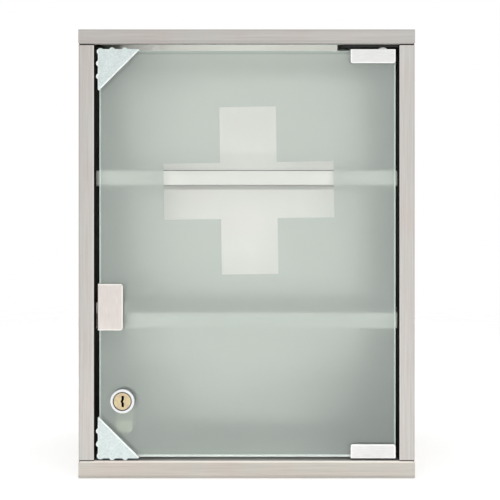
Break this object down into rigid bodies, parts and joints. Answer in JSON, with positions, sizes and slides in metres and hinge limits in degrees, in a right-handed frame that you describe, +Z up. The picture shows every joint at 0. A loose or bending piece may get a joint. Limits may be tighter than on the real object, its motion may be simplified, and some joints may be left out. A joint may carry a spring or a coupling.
{
  "type": "medicine cabinet",
  "caption": "Wall medicine cabinet of folded stainless steel with shelves, a frosted glass door on pivot clamp hinges, a magnetic catch and a cam lock.",
  "frame": {"origin": "middle of the case's underside, in the plane that it stands on", "axes": "+Z up; -Y is the door side; +X is the hinge side, to the right of someone facing the door"},
  "size_m": [0.3, 0.1211, 0.4],
  "materials": {
    "stainless_steel": "fine brushed grain along each panel",
    "satin_steel": "satin, bright",
    "black_steel": "blackened, semi-matt",
    "chrome": "polished",
    "brass": "machined",
    "frosted_glass": "satin etched behind, with a clear cross",
    "milky_plastic": "moulded, translucent",
    "white_plastic": "moulded",
    "nylon": "moulded, natural",
    "rubber": "matt",
    "ferrite": "sintered, matt"
  },
  "bodies": {
    "cabinet": {"top_panel": "stainless_steel", "bottom_panel": "stainless_steel", "left_side_panel": "stainless_steel", "right_side_panel": "stainless_steel", "back_panel": "stainless_steel", "upper_shelf": "stainless_steel", "lower_shelf": "stainless_steel", "upper_hinge_bracket": "black_steel", "upper_hinge_screw": "black_steel", "upper_hinge_nut": "black_steel", "upper_hinge_bush": "nylon", "lower_hinge_bush": "nylon", "catch_housing": "white_plastic", "catch_magnet": "ferrite", "catch_pole_lower": "stainless_steel", "catch_pole_upper": "stainless_steel", "catch_screw_left": "stainless_steel", "catch_screw_right": "stainless_steel"},
    "door": {"door_glass": "frosted_glass", "upper_hinge_clamp": "satin_steel", "upper_hinge_pad": "nylon", "upper_hinge_grub_left": "black_steel", "upper_hinge_grub_right": "black_steel", "upper_hinge_pin": "chrome", "lower_hinge_clamp": "satin_steel", "lower_hinge_pad": "nylon", "lower_hinge_grub_left": "black_steel", "lower_hinge_grub_right": "black_steel", "lower_hinge_pin": "chrome", "handle_clip": "satin_steel", "handle_pad": "nylon", "handle_grub_lower": "black_steel", "handle_grub_upper": "black_steel", "upper_corner_guard": "milky_plastic", "lower_corner_guard": "milky_plastic", "lock_barrel": "chrome", "lock_washer": "rubber", "lock_nut": "chrome"},
    "lock": {"lock_plug": "brass", "lock_cam": "stainless_steel", "cam_washer": "stainless_steel", "cam_screw": "stainless_steel"}
  },
  "joints": [
    {"name": "door_swing", "type": "hinge", "parent": "cabinet", "child": "door", "pos_m": [0.122, -0.0548, 0.2], "axis": [0, 0, 1], "range_deg": [0, 110]},
    {"name": "lock_turn", "type": "hinge", "parent": "door", "child": "lock", "pos_m": [-0.1106, -0.05, 0.0685], "axis": [0, 1, 0], "range_deg": [0, 90]}
  ]
}
